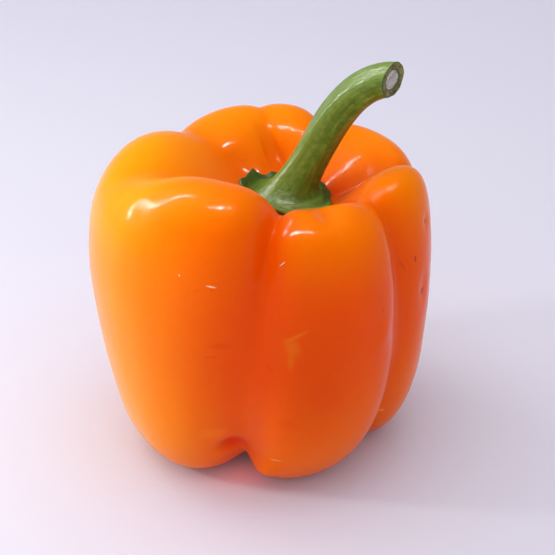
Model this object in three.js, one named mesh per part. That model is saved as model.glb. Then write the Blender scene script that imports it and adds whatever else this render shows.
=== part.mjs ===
// A blocky orange bell pepper, standing upright on the feet of its lobes, with its calyx and its stem.
// Millimetres, +Z up. The front faces -Y, and azimuths are degrees from +X, counter-clockwise seen
// from above. The origin is under the middle of the fruit, on the surface that it stands on.

import * as THREE from 'three';
import { ParametricGeometry } from 'three/addons/geometries/ParametricGeometry.js';
import { mergeVertices } from 'three/addons/utils/BufferGeometryUtils.js';

// One meridian of the fruit: from the scar underneath, out over a foot, up the outside, over the
// crest and down into the well round the stem. Each station is a control point of a smooth curve,
// with its distance from the fruit's axis, its height, and where the axis lies at that station.
const STATIONS = [
  { name: 'scar', radius: 0, height: 13, axisX: 3.6, axisY: -0.4 },
  { name: 'rim', radius: 9, height: 9, axisX: 3.1, axisY: -0.4 },
  { name: 'foot', radius: 21, height: -4.9, axisX: 2.6, axisY: -0.4 },
  { name: 'heel', radius: 35, height: 0, axisX: 2.1, axisY: -0.4 },
  { name: 'flank', radius: 41.5, height: 18, axisX: 1.6, axisY: -0.4 },
  { name: 'belly', radius: 44, height: 41, axisX: 1.1, axisY: -0.4 },
  { name: 'upper', radius: 45.5, height: 64, axisX: 1.6, axisY: -0.4 },
  { name: 'shoulder', radius: 40.5, height: 83, axisX: 3.6, axisY: -0.9 },
  { name: 'crest', radius: 27, height: 85.5, axisX: 5.6, axisY: -1.9 },
  { name: 'wall', radius: 16.5, height: 73.5, axisX: 7.4, axisY: -1.4 },
  { name: 'floor', radius: 10, height: 68.5, axisX: 8.2, axisY: -0.4 },
  { name: 'seat', radius: 0, height: 68, axisX: 8.2, axisY: -0.4 },
];

// How each lobe swells or shrinks the stations near its azimuth, in radius and in height.
const LOBES = [
  { at: -155, footRise: 0.4, foot: -1, heel: 3, flank: 0.5, belly: 1, upper: 1.8,
    shoulder: 1.2, shoulderRise: -0.5, crest: -1, crestRise: -2, wall: -1 },
  { at: -118, footRise: 0, foot: 1, heel: 5, flank: 2, belly: 1, upper: 1,
    shoulder: 1, shoulderRise: 2, crest: -2, crestRise: 3.5, wall: -2 },
  { at: -68, footRise: -0.3, foot: -3.5, heel: 1, flank: 2, belly: 1, upper: -1,
    shoulder: -1, shoulderRise: -4, crest: -3, crestRise: -2.5, wall: 0 },
  { at: -48, footRise: -1.6, foot: -2, heel: 0.6, flank: 2.3, belly: 2.6, upper: 0,
    shoulder: -1, shoulderRise: -5, crest: -3, crestRise: -6, wall: 0 },
  { at: -14, footRise: -2.2, foot: 1, heel: 1, flank: 0.8, belly: 0.5, upper: -2,
    shoulder: -1, shoulderRise: 1, crest: -2, crestRise: -2, wall: -4 },
  { at: 31, footRise: -2.2, foot: 0, heel: 0, flank: 0, belly: 0, upper: -0.5,
    shoulder: -2, shoulderRise: -5, crest: 0, crestRise: -8, wall: -2 },
  { at: 82, footRise: -2.4, foot: 0, heel: 0, flank: 0, belly: 0, upper: 0,
    shoulder: -1, shoulderRise: -2, crest: 1, crestRise: -2.5, wall: -2 },
  { at: 117, footRise: -2.3, foot: 0, heel: 0, flank: 0, belly: 0, upper: 0,
    shoulder: -1, shoulderRise: -2.5, crest: 0, crestRise: -3, wall: -2 },
  { at: 160, footRise: -0.8, foot: 1, heel: 1, flank: 0, belly: 1.3, upper: 1.8,
    shoulder: 1, shoulderRise: -1.5, crest: 2, crestRise: -1.5, wall: 0 },
];
const LOBE_TIGHTNESS = 12; // how sharply one lobe gives way to the next

// The furrows between lobes: their azimuth at the top, the side and the foot, and at each of these
// their half width, how far they pull the skin inwards, and how far they lower or lift it.
const FURROWS = [
  { top: -94, side: -97, foot: -105, topWidth: 3.5, topPull: 6, topDrop: 6.5,
    sideWidth: 7, sidePull: 4, footWidth: 3.2, footPull: 14, footLift: 24 },
  { top: -35, side: -32, foot: -35, topWidth: 5, topPull: 6, topDrop: 4,
    sideWidth: 5, sidePull: 5, footWidth: 6, footPull: 8, footLift: 10 },
  { top: 8, side: 10, foot: 14, topWidth: 5, topPull: 4, topDrop: 7,
    sideWidth: 8, sidePull: 1, footWidth: 6, footPull: 3, footLift: 3 },
  { top: 65, side: 60, foot: 60, topWidth: 5, topPull: 6, topDrop: 6,
    sideWidth: 6, sidePull: 4, footWidth: 6, footPull: 8, footLift: 10 },
  { top: 101, side: 102, foot: 104, topWidth: 4, topPull: 2, topDrop: 2,
    sideWidth: 8, sidePull: 0.8, footWidth: 6, footPull: 3, footLift: 3 },
  { top: 136, side: 143, foot: 150, topWidth: 5, topPull: 6, topDrop: 5.5,
    sideWidth: 6, sidePull: 3.5, footWidth: 6, footPull: 8, footLift: 10 },
  { top: -172, side: -160, foot: -145, topWidth: 6, topPull: 1, topDrop: 4,
    sideWidth: 10, sidePull: 0.6, footWidth: 8, footPull: 1, footLift: 1 },
];
const FURROW_BOTTOM = 0.45; // roundness of a furrow's bottom at the top and the foot, in half widths
const FURROW_BOTTOM_SIDE = 0.8; // the same on the side, where furrows are softer
const SLIMMEST_RADIUS = 12; // furrow widths are taken on no smaller circle than this

// What share of a furrow's top, side and foot values each station takes, from scar to seat.
const REACH = {
  topPull: [0, 0, 0, 0, 0, 0, 0.35, 1, 0.3, -0.5, -0.2, 0],
  topDrop: [0, 0, 0, 0, 0, 0, 0.2, 0.7, 1, 0.5, 0, 0],
  sidePull: [0, 0, 0, 0.3, 0.9, 1, 0.8, 0.2, 0, 0, 0, 0],
  footPull: [0, 0, 0.5, 1, 0.35, 0, 0, 0, 0, 0, 0, 0],
  footLift: [0, 0, 1, 0.45, 0, 0, 0, 0, 0, 0, 0, 0],
  topCourse: [0, 0, 0, 0, 0, 0, 0.5, 1, 1, 1, 1, 1],
  footCourse: [1, 1, 1, 0.8, 0.4, 0, 0, 0, 0, 0, 0, 0],
};
const CREST_TO_WALL_RISE = 0.3; // the wall station rises by this share of the crest's rise

// The calyx: a thin toothed disc that lies on the floor of the well, thicker under the stem.
const CALYX_GAP = 0.35;
const CALYX_THICKNESS = 1.2;
const CALYX_RADIUS = 10;
const CALYX_SEAT_RADIUS = 7.8; // the flat boss that the stem stands on
const CALYX_SEAT_HEIGHT = 71.2;
const CALYX_TEETH = [
  { at: -95, reach: 1.2, width: 26, curl: 0.2 },
  { at: -24, reach: 2.6, width: 20, curl: 0.4 },
  { at: 42, reach: 0.6, width: 24, curl: 0.3 },
  { at: 92, reach: 1.4, width: 18, curl: 0.6 },
  { at: 148, reach: 6.5, width: 24, curl: 2 },
  { at: -155, reach: 3, width: 26, curl: 0.8 },
];

// The stem: a round stalk with soft ribs along a bent path, flared where it grows out of the calyx.
const STEM_GAP = 0.3;
const STEM_PATH = new THREE.CubicBezierCurve3(
  new THREE.Vector3(8.3, -0.4, CALYX_SEAT_HEIGHT + STEM_GAP),
  new THREE.Vector3(14.8, -0.4, 82.5),
  new THREE.Vector3(20.4, -1.2, 101.5),
  new THREE.Vector3(32.7, -8.3, 105.1),
);
const STEM_RADIUS = 4.65;
const STEM_TIP_RADIUS = 4.3;
const STEM_FLARE = 3.2; // how much wider the foot is than the stalk
const STEM_FLARE_LENGTH = 3.2;
const STEM_RIBS = 5;
const STEM_RIB_HEIGHT = 0.22;
const STEM_RIB_TURN = 40; // degrees that the ribs turn from the foot to the tip
const CUT_NORMAL = new THREE.Vector3(0.76, -0.65, -0.03).normalize();
const CUT_LEAN_START = 0.7; // the part of the path where the rings begin to lean towards the cut
const PITH_RADIUS = 0.66; // share of the stem's radius
const PITH_DEPTH = 0.6;

const FRUIT_SLICES = 90;
const FRUIT_STACKS = 38;
const CALYX_SLICES = 72;
const STEM_SLICES = 24;
const STEM_STACKS = 30;

const UP = new THREE.Vector3(0, 0, 1);
const FRONT = new THREE.Vector3(0, -1, 0);
const radians = THREE.MathUtils.degToRad;
const smooth = THREE.MathUtils.smoothstep;
const mix = THREE.MathUtils.lerp;

// The angle between two azimuths, from -180 to 180 degrees, in radians.
function azimuthBetween(a, b) {
  return Math.atan2(Math.sin(a - b), Math.cos(a - b));
}

// A furrow's depth across its width: a valley of soft sides, 1 at its bottom and 0 far away.
function valley(distance, roundness) {
  return Math.exp(roundness - Math.hypot(distance, roundness));
}

// The twelve stations' radii and heights on the meridian at one azimuth.
function meridianAt(azimuth) {
  const shares = LOBES.map((lobe) => Math.exp(LOBE_TIGHTNESS * (Math.cos(azimuth - radians(lobe.at)) - 1)));
  const total = shares.reduce((sum, share) => sum + share, 0);
  const blend = (key) => LOBES.reduce((sum, lobe, i) => sum + lobe[key] * shares[i], 0) / total;
  const swell = {
    foot: blend('foot'), heel: blend('heel'), flank: blend('flank'), belly: blend('belly'),
    upper: blend('upper'), shoulder: blend('shoulder'), crest: blend('crest'), wall: blend('wall'),
  };
  const crestRise = blend('crestRise');
  const rise = {
    foot: blend('footRise'),
    shoulder: blend('shoulderRise'),
    crest: crestRise,
    wall: CREST_TO_WALL_RISE * crestRise,
  };
  return STATIONS.map((station, i) => {
    let radius = station.radius + (swell[station.name] ?? 0);
    let height = station.height + (rise[station.name] ?? 0);
    const top = REACH.topCourse[i];
    const foot = REACH.footCourse[i];
    const side = 1 - top - foot;
    const roundness = FURROW_BOTTOM * (top + foot) + FURROW_BOTTOM_SIDE * side;
    for (const furrow of FURROWS) {
      const course = radians(furrow.top * top + furrow.side * side + furrow.foot * foot);
      const width = furrow.topWidth * top + furrow.sideWidth * side + furrow.footWidth * foot;
      const circle = Math.max(station.radius, SLIMMEST_RADIUS);
      const depth = valley(azimuthBetween(azimuth, course) * circle / width, roundness);
      radius -= depth * (furrow.topPull * REACH.topPull[i] + furrow.sidePull * REACH.sidePull[i]
        + furrow.footPull * REACH.footPull[i]);
      height -= depth * (furrow.topDrop * REACH.topDrop[i] - furrow.footLift * REACH.footLift[i]);
    }
    const onAxis = station.radius === 0;
    return { radius: onAxis ? 0 : radius, height: onAxis ? station.height : height };
  });
}

// The weights of four neighbouring control points on a uniform cubic B-spline.
function splineWeights(f) {
  const back = 1 - f;
  return [
    back ** 3 / 6,
    (3 * f ** 3 - 6 * f ** 2 + 4) / 6,
    (-3 * f ** 3 + 3 * f ** 2 + 3 * f + 1) / 6,
    f ** 3 / 6,
  ];
}

// A point of the fruit's skin, at an azimuth and a place along the meridian, counted in stations.
// Past either end the meridian goes on across the axis, so the scar and the well close smoothly.
const meridians = new Map();
function skinPoint(azimuth, place, target = new THREE.Vector3()) {
  if (!meridians.has(azimuth)) meridians.set(azimuth, meridianAt(azimuth));
  const meridian = meridians.get(azimuth);
  const last = STATIONS.length - 1;
  const first = Math.min(Math.floor(place), last - 1);
  const weights = splineWeights(place - first);
  let radius = 0;
  let height = 0;
  let axisX = 0;
  let axisY = 0;
  weights.forEach((weight, k) => {
    const index = first + k - 1;
    const within = index < 0 ? -index : index > last ? 2 * last - index : index;
    const side = index < 0 || index > last ? -1 : 1;
    radius += weight * side * meridian[within].radius;
    height += weight * meridian[within].height;
    axisX += weight * STATIONS[within].axisX;
    axisY += weight * STATIONS[within].axisY;
  });
  return target.set(axisX + radius * Math.cos(azimuth), axisY + radius * Math.sin(azimuth), height);
}

// The outward normal of the skin, from two short steps across it.
function skinNormal(azimuth, place) {
  const step = 0.01;
  const here = skinPoint(azimuth, place);
  const round = skinPoint(azimuth + step, place).sub(here);
  const along = skinPoint(azimuth, place + step).sub(here);
  return round.cross(along).normalize();
}

// A closed, pole-to-pole surface from a function of azimuth share and a row number: shared corners
// are merged and the flat triangles at the poles dropped, so one closed body is left.
function closedBody(pointAt, slices, stacks) {
  const patch = new ParametricGeometry(pointAt, slices, stacks);
  patch.deleteAttribute('normal');
  patch.deleteAttribute('uv');
  const body = mergeVertices(patch, 1e-3);
  const corners = body.index.array;
  const kept = [];
  for (let i = 0; i < corners.length; i += 3) {
    const [a, b, c] = [corners[i], corners[i + 1], corners[i + 2]];
    if (a !== b && b !== c && c !== a) kept.push(a, b, c);
  }
  body.setIndex(kept);
  body.computeVertexNormals();
  return body;
}

// The fruit, flattened a little where its feet press on the surface at height 0.
function fruitGeometry() {
  const skin = (u, v, target) => {
    skinPoint((u % 1) * 2 * Math.PI, v * (STATIONS.length - 1), target);
    target.z = Math.max(target.z, 0);
  };
  return closedBody(skin, FRUIT_SLICES, FRUIT_STACKS);
}

// The place on a meridian inside the well where the skin is a given distance from the axis.
function wellPlace(azimuth, distance) {
  let outer = STATIONS.length - 4;
  let inner = STATIONS.length - 1;
  const axis = STATIONS[STATIONS.length - 1];
  for (let i = 0; i < 24; i += 1) {
    const middle = (outer + inner) / 2;
    const point = skinPoint(azimuth, middle);
    if (Math.hypot(point.x - axis.axisX, point.y - axis.axisY) > distance) outer = middle;
    else inner = middle;
  }
  return (outer + inner) / 2;
}

// How strongly an azimuth belongs to a tooth of the calyx: 1 at its tip, falling to 0 beside it.
function toothShare(azimuth, tooth) {
  const away = Math.abs(azimuthBetween(azimuth, radians(tooth.at))) / radians(tooth.width);
  return Math.max(0, 1 - away) ** 1.4;
}

// The calyx follows the floor of the well at a small gap. Its rows run from the middle of the
// underside out to the edge and back over the top, as a share of the edge's distance and a level.
function calyxGeometry() {
  const shares = [0, 0.3, 0.55, 0.7, 0.8, 0.88, 0.95, 1];
  const rows = shares.map((share) => ({ share, level: 0 }));
  rows.push(...shares.map((share) => ({ share, level: 1 })).reverse());
  const surface = (u, v, target) => {
    const azimuth = (u % 1) * 2 * Math.PI;
    const row = rows[Math.round(v * (rows.length - 1))];
    const edge = CALYX_TEETH.reduce((sum, tooth) => sum + tooth.reach * toothShare(azimuth, tooth), CALYX_RADIUS);
    const curl = CALYX_TEETH.reduce((sum, tooth) => sum + tooth.curl * toothShare(azimuth, tooth), 0);
    const distance = row.share * edge;
    const place = wellPlace(azimuth, distance);
    const lean = smooth(distance, 5, 9);
    const out = UP.clone().lerp(skinNormal(azimuth, Math.min(place, STATIONS.length - 1.1)), lean).normalize();
    const lift = CALYX_GAP + curl * smooth(row.share, 0.7, 1.05) + row.level * CALYX_THICKNESS;
    skinPoint(azimuth, place, target).addScaledVector(out, lift);
    const boss = 1 - smooth(distance, CALYX_SEAT_RADIUS, CALYX_SEAT_RADIUS + 1.8);
    if (row.level === 1) target.z = mix(target.z, CALYX_SEAT_HEIGHT, boss);
  };
  return closedBody(surface, CALYX_SLICES, rows.length - 1);
}

// The stem's rings stand square to its path, apart from the level foot and the slanting cut.
function stemGeometry() {
  const length = STEM_PATH.getLength();
  const endRows = [
    { size: 0.93, depth: -0.25 }, { size: PITH_RADIUS + 0.08, depth: 0 },
    { size: PITH_RADIUS, depth: PITH_DEPTH }, { size: 0, depth: PITH_DEPTH * 0.7 },
  ];
  const rowCount = 1 + STEM_STACKS + endRows.length;
  const surface = (u, v, target) => {
    const azimuth = (u % 1) * 2 * Math.PI;
    const row = Math.round(v * rowCount);
    const along = THREE.MathUtils.clamp((row - 1) / STEM_STACKS, 0, 1);
    const end = row > STEM_STACKS + 1 ? endRows[row - STEM_STACKS - 2] : { size: row === 0 ? 0 : 1, depth: 0 };
    const centre = STEM_PATH.getPoint(along);
    const tangent = STEM_PATH.getTangent(along);
    const across = FRONT.clone().addScaledVector(tangent, -FRONT.dot(tangent)).normalize();
    const beside = tangent.clone().cross(across);
    const flare = STEM_FLARE * Math.exp(-along * length / STEM_FLARE_LENGTH);
    const turn = STEM_RIBS * (azimuth - radians(STEM_RIB_TURN) * along);
    const radius = mix(STEM_RADIUS, STEM_TIP_RADIUS, along) + flare + STEM_RIB_HEIGHT * Math.cos(turn);
    const spoke = across.multiplyScalar(Math.cos(azimuth)).addScaledVector(beside, Math.sin(azimuth));
    spoke.multiplyScalar(radius * end.size);
    const ringNormal = tangent.clone()
      .lerp(UP, 1 - smooth(along, 0, 0.16))
      .lerp(CUT_NORMAL, smooth(along, CUT_LEAN_START, 1))
      .normalize();
    const slide = -spoke.dot(ringNormal) / tangent.dot(ringNormal) - end.depth;
    target.copy(centre).add(spoke).addScaledVector(tangent, slide);
  };
  return closedBody(surface, STEM_SLICES, rowCount);
}

function piece(name, geometry, color, roughness) {
  const material = new THREE.MeshStandardMaterial({ color, roughness, metalness: 0 });
  const mesh = new THREE.Mesh(geometry, material);
  mesh.name = name;
  return mesh;
}

const pepper = new THREE.Group();
pepper.name = 'bell_pepper';
pepper.add(piece('fruit', fruitGeometry(), '#f07c10', 0.22));
pepper.add(piece('calyx', calyxGeometry(), '#3f6a24', 0.5));
pepper.add(piece('stem', stemGeometry(), '#6d9a3c', 0.45));

export default pepper;
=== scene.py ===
"""A blocky orange bell pepper standing on a pale surface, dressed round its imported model.

Lengths are written in millimetres and turned into metres where a mesh is made. The front faces -Y,
and azimuths are degrees from +X, counter-clockwise seen from above.
"""

import bpy
import numpy as np
from mathutils import Matrix, Vector


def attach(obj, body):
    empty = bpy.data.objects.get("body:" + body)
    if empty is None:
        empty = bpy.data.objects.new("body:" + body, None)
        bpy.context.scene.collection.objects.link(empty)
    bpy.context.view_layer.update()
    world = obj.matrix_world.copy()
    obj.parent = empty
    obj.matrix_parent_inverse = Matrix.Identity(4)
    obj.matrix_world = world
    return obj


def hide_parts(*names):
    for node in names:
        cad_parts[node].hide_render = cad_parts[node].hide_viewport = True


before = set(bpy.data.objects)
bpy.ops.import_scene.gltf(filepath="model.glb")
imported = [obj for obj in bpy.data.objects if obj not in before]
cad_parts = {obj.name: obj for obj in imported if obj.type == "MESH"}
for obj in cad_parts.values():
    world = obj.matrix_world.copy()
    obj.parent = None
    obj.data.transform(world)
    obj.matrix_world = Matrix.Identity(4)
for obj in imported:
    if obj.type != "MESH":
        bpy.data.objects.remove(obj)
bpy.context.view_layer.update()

# The view: a camera in front of the pepper and above it, at the height from which the photograph
# looks into the well round the stem.
MM = 0.001
VIEW_TARGET = Vector((4.65, -0.4, 45.0)) * MM
VIEW_DISTANCE = 460 * MM
VIEW_ELEVATION = np.radians(30)
VIEW_LENS = 112.8

view_way = Vector((0, -np.cos(VIEW_ELEVATION), np.sin(VIEW_ELEVATION)))
camera = bpy.data.objects.new("camera", bpy.data.cameras.new("camera"))
camera.data.lens = VIEW_LENS
camera.data.sensor_width = 36
camera.data.clip_start = 0.01
camera.location = VIEW_TARGET + VIEW_DISTANCE * view_way
camera.rotation_euler = (-view_way).to_track_quat("-Z", "Y").to_euler()
bpy.context.scene.collection.objects.link(camera)
bpy.context.scene.camera = camera
bpy.context.scene.view_settings.view_transform = "Standard"


# The surface: a smooth, pale, faintly lilac sheet that the pepper stands on. It isn't part of the
# object, and is staged only to catch the shadow and to light the fruit from below.
FLOOR_HALF = 3000
FLOOR_DROP = 0.06
FLOOR_COLOUR = (0.66, 0.645, 0.735, 1)


def put(tree, kind, settings=None, **inputs):
    """Adds a node of one kind. A named input is linked where it is given a socket, else set."""
    node = tree.nodes.new(kind)
    for key, value in (settings or {}).items():
        setattr(node, key, value)
    for key, value in inputs.items():
        name = key.replace("_", " ")
        socket = node.inputs[int(key[1:])] if key[1:].isdigit() else node.inputs[name]
        if isinstance(value, bpy.types.NodeSocket):
            tree.links.new(value, socket)
        else:
            socket.default_value = value
    return node


def finish_shader(name, **inputs):
    """A new material with one Principled BSDF, with these inputs set. Returns both and the tree."""
    material = bpy.data.materials.new(name)
    material.use_nodes = True
    tree = material.node_tree
    bsdf = tree.nodes["Principled BSDF"]
    for key, value in inputs.items():
        bsdf.inputs[key.replace("_", " ")].default_value = value
    return material, tree, bsdf


floor_mesh = bpy.data.meshes.new("floor")
half = FLOOR_HALF * MM
floor_mesh.from_pydata(
    [(-half, -half, -FLOOR_DROP * MM), (half, -half, -FLOOR_DROP * MM),
     (half, half, -FLOOR_DROP * MM), (-half, half, -FLOOR_DROP * MM)], [], [(0, 1, 2, 3)])
floor = bpy.data.objects.new("floor", floor_mesh)
bpy.context.scene.collection.objects.link(floor)
floor_material, _, floor_bsdf = finish_shader("pale_surface", Roughness=0.62, Specular_IOR_Level=0.3)
floor_bsdf.inputs["Base Color"].default_value = FLOOR_COLOUR
floor.data.materials.append(floor_material)


# The light: two strips, overhead and leaning back on the left, that only show as highlights; softer
# lamps in the same places, low on the left and in front that light without highlights; and a pale
# room, which is darker overhead where it is mirrored, so that the skin keeps its colour.
ROOM_COLOUR = (0.92, 0.93, 1.0, 1)
ROOM_STRENGTH = 0.77
LAMP_COLOUR = (1.0, 0.98, 0.96)
LIGHTS = {
    "overhead glint": {"at": (-20, -40, 620), "size": (22, 340), "long": (1, 0, 0), "watts": 6.0},
    "leaning glint": {"at": (-465, 184, 388), "size": (24, 640), "long": (453, 176, 559), "watts": 5.6},
    "overhead": {"at": (-60, -20, 620), "size": (600, 600), "long": (1, 0, 0), "watts": 1.4},
    "leaning": {"at": (-465, 200, 370), "size": (200, 640), "long": (453, 176, 559), "watts": 0.95},
    "low left": {"at": (-350, -40, 190), "size": (40, 60), "long": (0, 0, 1), "watts": 0.4},
    "front": {"at": (-380, -820, 350), "size": (500, 900), "long": (1, 0, 0), "watts": 1.2},
}
MIRRORED_LOW = 0.55
MIRRORED_HIGH = 0.12
MIRRORED_TURN = 0.45
# The red light that comes through the flesh into the gap between the front feet.
GLOW_AT = (-2, -27, 5)
GLOW_SIZE = (34, 9)
GLOW_WATTS = 0.0006
GLOW_COLOUR = (1.0, 0.03, 0.0)

room = bpy.data.worlds.new("room")
room.use_nodes = True
room.node_tree.nodes["Background"].inputs["Color"].default_value = ROOM_COLOUR
way = put(room.node_tree, "ShaderNodeTexCoord").outputs["Generated"]
up = put(room.node_tree, "ShaderNodeSeparateXYZ", Vector=way).outputs["Z"]
mirrored = put(room.node_tree, "ShaderNodeMapRange", Value=up, From_Max=MIRRORED_TURN,
               To_Min=MIRRORED_LOW, To_Max=MIRRORED_HIGH).outputs["Result"]
seen = put(room.node_tree, "ShaderNodeLightPath").outputs["Is Glossy Ray"]
strength = put(room.node_tree, "ShaderNodeMapRange", Value=seen, To_Min=ROOM_STRENGTH, To_Max=mirrored)
room.node_tree.links.new(strength.outputs["Result"], room.node_tree.nodes["Background"].inputs["Strength"])
bpy.context.scene.world = room
for name, facts in LIGHTS.items():
    lamp = bpy.data.lights.new(name, "AREA")
    lamp.shape = "RECTANGLE"
    lamp.size, lamp.size_y = facts["size"][0] * MM, facts["size"][1] * MM
    lamp.energy = facts["watts"]
    lamp.color = LAMP_COLOUR
    holder = bpy.data.objects.new(name, lamp)
    holder.location = Vector(facts["at"]) * MM
    back = (holder.location - VIEW_TARGET).normalized()
    side = Vector(facts["long"]).cross(back).normalized()
    holder.rotation_euler = Matrix((side, back.cross(side), back)).transposed().to_euler()
    holder.visible_glossy = "glint" in name
    holder.visible_diffuse = "glint" not in name
    bpy.context.scene.collection.objects.link(holder)
glow = bpy.data.lights.new("glow", "AREA")
glow.shape = "RECTANGLE"
glow.size, glow.size_y = GLOW_SIZE[0] * MM, GLOW_SIZE[1] * MM
glow.energy, glow.color = GLOW_WATTS, GLOW_COLOUR
glow_holder = bpy.data.objects.new("glow", glow)
glow_holder.location = Vector(GLOW_AT) * MM
glow_holder.visible_glossy = glow_holder.visible_camera = False
bpy.context.scene.collection.objects.link(glow_holder)


# The fruit: one grown pod of four carpels, with a waxy orange skin, swollen between its furrows and
# drawn in to a well round the stem. It stands on the feet of its lobes.
# Columns: radius, height, and where the fruit's axis lies, of each station along a meridian.
STATIONS = np.array([
    (0, 13, 3.6, -0.4),         # scar
    (9, 9, 3.1, -0.4),          # rim
    (21, -4.9, 2.6, -0.4),      # foot
    (35, 0, 2.1, -0.4),         # heel
    (41.5, 18, 1.6, -0.4),      # flank
    (44, 41, 1.1, -0.4),        # belly
    (45.5, 64, 1.6, -0.4),      # upper
    (40.5, 83, 3.6, -0.9),      # shoulder
    (27, 85.5, 5.6, -1.9),      # crest
    (16.5, 73.5, 7.4, -1.4),    # wall
    (10, 68.5, 8.2, -0.4),      # floor
    (0, 68, 8.2, -0.4),         # seat
])
LAST = len(STATIONS) - 1
# Columns: azimuth, then the swelling at foot, heel, flank, belly, upper, shoulder, crest and wall,
# then the rise at foot, shoulder and crest.
LOBES = np.array([
    (-155, -1, 3, 0.5, 1, 1.8, 1.2, -1, -1, 0.4, -0.5, -2),
    (-118, 1.5, 4.0, 2, 1, 1, 1, -2, -2, 0, 2, 3.5),
    (-68, -4.5, -1.8, 2, 1, -1, -1, -3, 0, -0.3, -4, -2.5),
    (-48, -2, -0.3, 2.3, 2.6, 0, -1, -3, 0, -1.6, -5, -6),
    (-14, 1, 1, 0.8, 0.5, -2, -1, -2, -4, -2.2, 1, -2),
    (27, 0, 0, 0, 0, -0.5, -2, 3, -8, -2.2, -6, -6.5),
    (78, 0, 0, 0, 0, 0, -1, 1, -2, -2.4, -2, -2.5),
    (114, 0, 0, 0, 0, 0, -1, 1, -4, -2.3, -2.5, -3),
    (160, 1, 1, 0, 1.3, 1.8, 1, 2, 0, -0.8, -1.5, -1.5),
])
LOBE_TIGHTNESS = 12
# Columns: azimuth at top, side and foot; half width at the top, pull at the shoulder and in the wall
# of the well, drop at the shoulder and the crest; half width and pull at the side; half widths
# before and after the furrow at the foot, pull at the heel and the flank, and lift of the foot.
FURROWS = np.array([
    (-91, -93, -105.5, 3.5, 6, 3, 6.5, 6.5, 5.5, 4, 6.5, 3.4, 13, 5, 8),
    (-35, -32, -35, 5, 6, 3, 4, 4, 5, 5, 6, 6, 8, 3, 10),
    (8, 10, 14, 5, 4, 2, 7, 7, 8, 1, 6, 6, 3, 1, 3),
    (65, 60, 60, 5, 6, 3, 6, 6, 6, 4, 6, 6, 8, 3, 10),
    (97, 100, 104, 2.4, 1.6, 6.0, 0.6, 2.0, 8, 0.8, 6, 6, 3, 1, 3),
    (136, 143, 150, 6.5, 4, 2, 5, 5, 6, 3.5, 6, 6, 8, 3, 10),
    (-168, -160, -145, 6, 0, 0, 1.6, 5, 10, 0.2, 8, 8, 0.5, 0, 0.5),
])
FURROW_BOTTOM = 0.45
FURROW_BOTTOM_SIDE = 0.8
SLIMMEST_RADIUS = 12
# Rows: how far each pull (at shoulder, wall, side, heel and flank), each drop (at shoulder and
# crest) and the lift reach along the twelve stations.
PULL_REACH = np.array([
    (0, 0, 0, 0, 0, 0, 0.35, 1, 0.3, 0, 0, 0),
    (0, 0, 0, 0, 0, 0, 0, 0, 0, -1, -0.4, 0),
    (0, 0, 0, 0.3, 0.9, 1, 0.8, 0.2, 0, 0, 0, 0),
    (0, 0, 0.5, 1, 0, 0, 0, 0, 0, 0, 0, 0),
    (0, 0, 0, 0, 1, 0, 0, 0, 0, 0, 0, 0),
])
DROP_REACH = np.array([
    (0, 0, 0, 0, 0, 0, 0.2, 0.7, 0, 0, 0, 0),
    (0, 0, 0, 0, 0, 0, 0, 0, 1, 0.5, 0, 0),
    (0, 0, -1, -0.45, 0, 0, 0, 0, 0, 0, 0, 0),
])
TOP_COURSE = np.array([0, 0, 0, 0, 0, 0, 0.5, 1, 1, 1, 1, 1])
FOOT_COURSE = np.array([1, 1, 1, 0.8, 0.4, 0, 0, 0, 0, 0, 0, 0])
CREST_TO_WALL_RISE = 0.3
# Soft swellings and hollows of the skin. Columns: azimuth, place, reach round and along in mm, height.
SWELLINGS = np.array([
    (-91, 3.4, 4.5, 4, 1.7),
    (-85.4, 6.9, 3.2, 9, 0.9),
    (-74, 6.0, 6, 13, -0.6),
    (-57, 6.2, 4.5, 15, 0.4),
    (-48, 5.3, 2.5, 3, 0.5),
    (-16.5, 6.26, 1.5, 2.2, -0.5),
    (-19, 5.4, 2, 4, -0.5),
    (-147, 7.0, 4, 9, 0.4),
    (-124, 6.3, 6, 12, -0.3),
    (-105, 3.72, 3.5, 3, -1.4),
    (-142, 7.8, 11, 12, 1.6),
    (-67, 7.7, 4.5, 9, -1.8),
    (-83, 7.7, 4.0, 8, 0.9),
    (-53, 7.6, 6, 8, 0.6),
    (30, 8.2, 12, 6, 1.0),
    (128, 8.3, 12, 8, 1.0),
    (103, 8.7, 3.2, 12, -0.9),
    (94, 8.6, 3.2, 11, 0.6),
])
MM_PER_PLACE = 22
# Smooth noise of the skin. Columns: height and spacing in mm, and the seed of its random values.
DENTS = ((0.16, 13, 3), (0.05, 5, 4), (0.018, 2, 5))
FRUIT_COLUMNS = 384
FRUIT_ROWS = 250


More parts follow.
